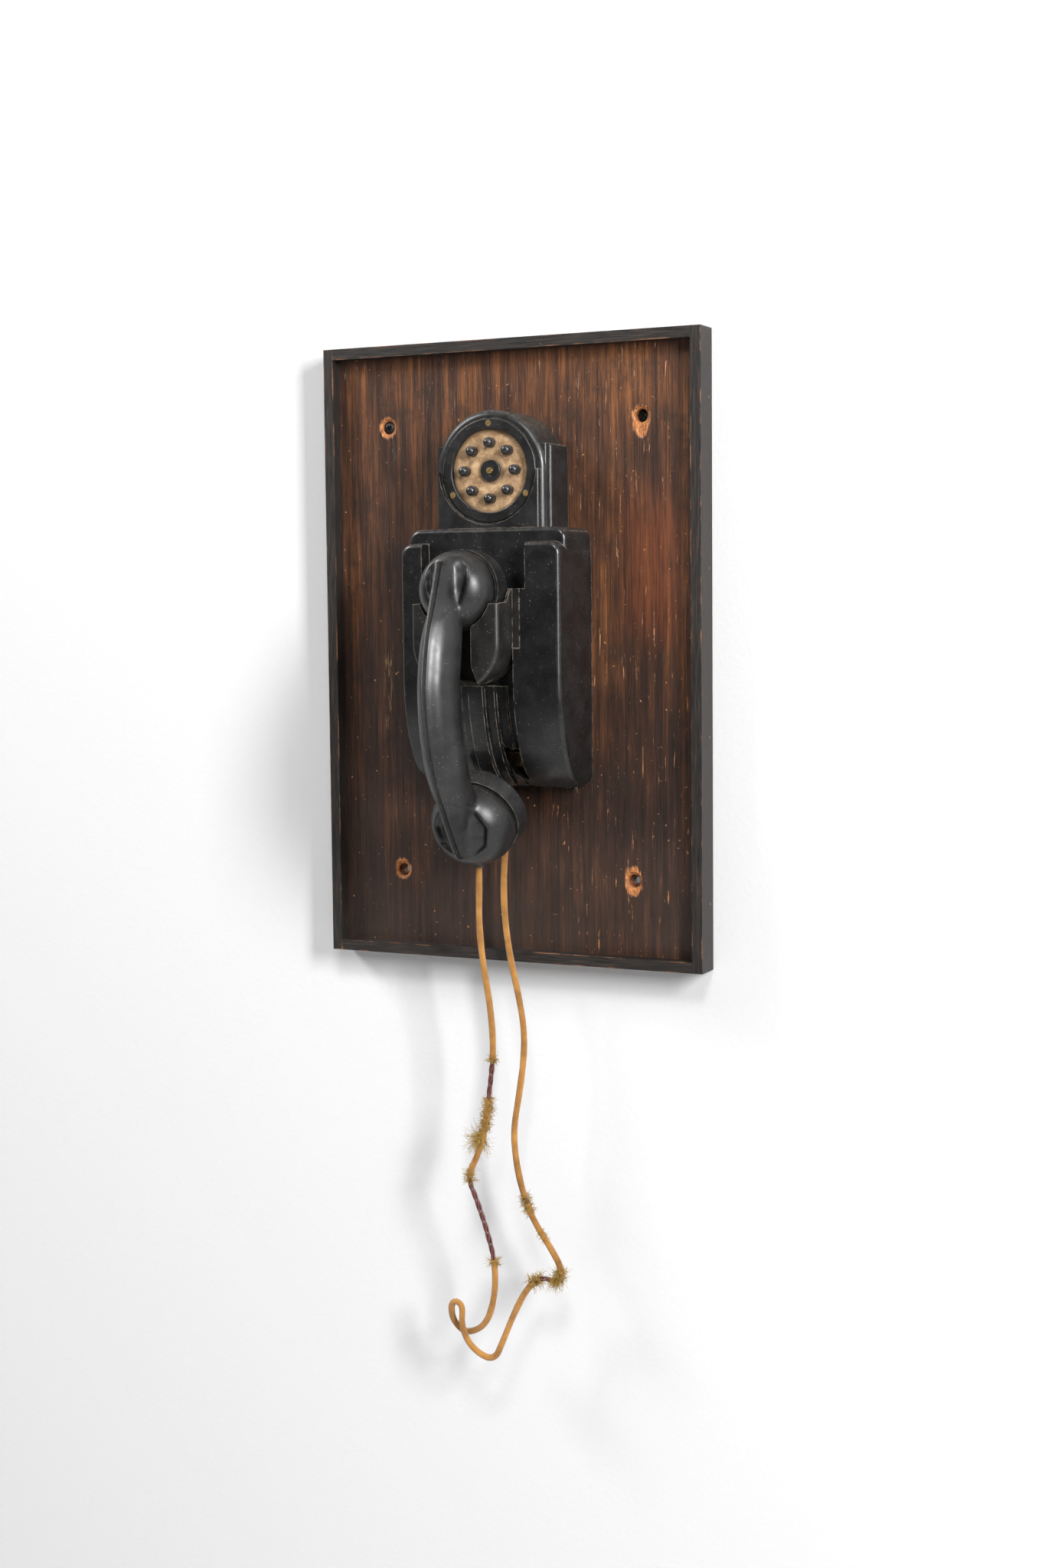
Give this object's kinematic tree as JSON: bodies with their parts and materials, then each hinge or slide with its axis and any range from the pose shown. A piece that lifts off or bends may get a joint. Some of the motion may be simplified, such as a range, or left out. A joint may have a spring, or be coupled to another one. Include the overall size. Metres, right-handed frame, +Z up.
{
  "type": "wall telephone",
  "caption": "Antique wall telephone: black moulded case and handset on a sprung cradle, a round push-key selector above, a braided cord, all on a framed wooden board.",
  "frame": {"origin": "centre of the board's back face, which lies on the wall", "axes": "+Y into the wall, so the front faces -Y; +Z up the wall; +X to the right as seen from the front"},
  "size_m": [0.3048, 0.1475, 0.7571],
  "materials": {
    "board_wood": "dark brown stained softwood, satin, worn",
    "strip_wood": "black paint over softwood, worn edges",
    "nail_steel": "dull wire nail",
    "plate_steel": "pressed steel, dull",
    "screw_steel": "slotted, darkened",
    "case_bakelite": "black moulded phenolic, satin with worn edges",
    "bush_rubber": "hard black rubber",
    "selector_bakelite": "black moulded phenolic, satin",
    "key_bakelite": "black, polished dome",
    "face_brass": "tarnished brass sheet",
    "screw_brass": "slotted brass, dull",
    "spring_steel": "bright spring wire",
    "contact_laminate": "brown phenolic laminate",
    "coil_winding": "varnished winding",
    "condenser_can": "plain can",
    "handset_bakelite": "black moulded phenolic, greyer from handling",
    "capsule_metal": "pressed capsule",
    "cord_braid": "ochre cotton braid, frayed"
  },
  "bodies": {
    "base": {"back_panel": "board_wood", "strip_left": "strip_wood", "strip_right": "strip_wood", "strip_top": "strip_wood", "strip_bottom": "strip_wood", "strip_nails": "nail_steel", "base_plate": "plate_steel", "buzzer_frame": "plate_steel", "cradle_guide": "plate_steel", "base_screws": "screw_steel", "housing_screws": "screw_steel", "frame_studs": "screw_steel", "housing": "case_bakelite", "selector_housing": "case_bakelite", "housing_bush": "bush_rubber", "selector_frame": "selector_bakelite", "bezel_ring": "selector_bakelite", "hub_disc": "selector_bakelite", "face_plate": "face_brass", "bezel_screws": "screw_brass", "hub_screw": "screw_brass", "terminal_screws": "screw_brass", "key_contacts": "screw_brass", "hook_spring": "spring_steel", "key_spring_1": "spring_steel", "key_spring_2": "spring_steel", "key_spring_3": "spring_steel", "key_spring_4": "spring_steel", "key_spring_5": "spring_steel", "key_spring_6": "spring_steel", "key_spring_7": "spring_steel", "key_spring_8": "spring_steel", "hook_contacts": "contact_laminate", "contact_board": "contact_laminate", "terminal_strip": "contact_laminate", "buzzer_coil": "coil_winding", "induction_coil": "coil_winding", "condenser": "condenser_can", "handset_cord": "cord_braid"},
    "cradle_body": {"cradle": "case_bakelite"},
    "handset": {"handset_body": "handset_bakelite", "receiver_cap": "handset_bakelite", "receiver_capsule": "capsule_metal", "transmitter_cap": "handset_bakelite", "transmitter_capsule": "capsule_metal", "handset_bush": "bush_rubber"},
    "armature": {"buzzer_armature": "plate_steel"},
    "key_body_1": {"key_1": "key_bakelite"},
    "key_body_2": {"key_2": "key_bakelite"},
    "key_body_3": {"key_3": "key_bakelite"},
    "key_body_4": {"key_4": "key_bakelite"},
    "key_body_5": {"key_5": "key_bakelite"},
    "key_body_6": {"key_6": "key_bakelite"},
    "key_body_7": {"key_7": "key_bakelite"},
    "key_body_8": {"key_8": "key_bakelite"}
  },
  "joints": [
    {"name": "cradle_rise", "type": "slide", "parent": "base", "child": "cradle_body", "axis": [0, 0, 1], "range_m": [0, 0.007], "stiffness_N_per_m": 150, "springref_m": 0.012, "deforming": ["hook_spring"]},
    {"name": "handset_lift", "type": "slide", "parent": "cradle_body", "child": "handset", "axis": [0, -0.6429, 0.7659], "range_m": [0, 0.08]},
    {"name": "armature_hinge", "type": "hinge", "parent": "base", "child": "armature", "pos_m": [-0.026, -0.0165, 0.0698], "axis": [1, 0, 0], "range_deg": [0, 2], "stiffness_Nm_per_rad": 0.05, "springref_deg": -1.72},
    {"name": "key_press_1", "type": "slide", "parent": "base", "child": "key_body_1", "axis": [0, 1, 0], "range_m": [0, 0.0035], "stiffness_N_per_m": 300, "springref_m": -0.003, "deforming": ["key_spring_1"]},
    {"name": "key_press_2", "type": "slide", "parent": "base", "child": "key_body_2", "axis": [0, 1, 0], "range_m": [0, 0.0035], "stiffness_N_per_m": 300, "springref_m": -0.003, "deforming": ["key_spring_2"]},
    {"name": "key_press_3", "type": "slide", "parent": "base", "child": "key_body_3", "axis": [0, 1, 0], "range_m": [0, 0.0035], "stiffness_N_per_m": 300, "springref_m": -0.003, "deforming": ["key_spring_3"]},
    {"name": "key_press_4", "type": "slide", "parent": "base", "child": "key_body_4", "axis": [0, 1, 0], "range_m": [0, 0.0035], "stiffness_N_per_m": 300, "springref_m": -0.003, "deforming": ["key_spring_4"]},
    {"name": "key_press_5", "type": "slide", "parent": "base", "child": "key_body_5", "axis": [0, 1, 0], "range_m": [0, 0.0035], "stiffness_N_per_m": 300, "springref_m": -0.003, "deforming": ["key_spring_5"]},
    {"name": "key_press_6", "type": "slide", "parent": "base", "child": "key_body_6", "axis": [0, 1, 0], "range_m": [0, 0.0035], "stiffness_N_per_m": 300, "springref_m": -0.003, "deforming": ["key_spring_6"]},
    {"name": "key_press_7", "type": "slide", "parent": "base", "child": "key_body_7", "axis": [0, 1, 0], "range_m": [0, 0.0035], "stiffness_N_per_m": 300, "springref_m": -0.003, "deforming": ["key_spring_7"]},
    {"name": "key_press_8", "type": "slide", "parent": "base", "child": "key_body_8", "axis": [0, 1, 0], "range_m": [0, 0.0035], "stiffness_N_per_m": 300, "springref_m": -0.003, "deforming": ["key_spring_8"]}
  ]
}
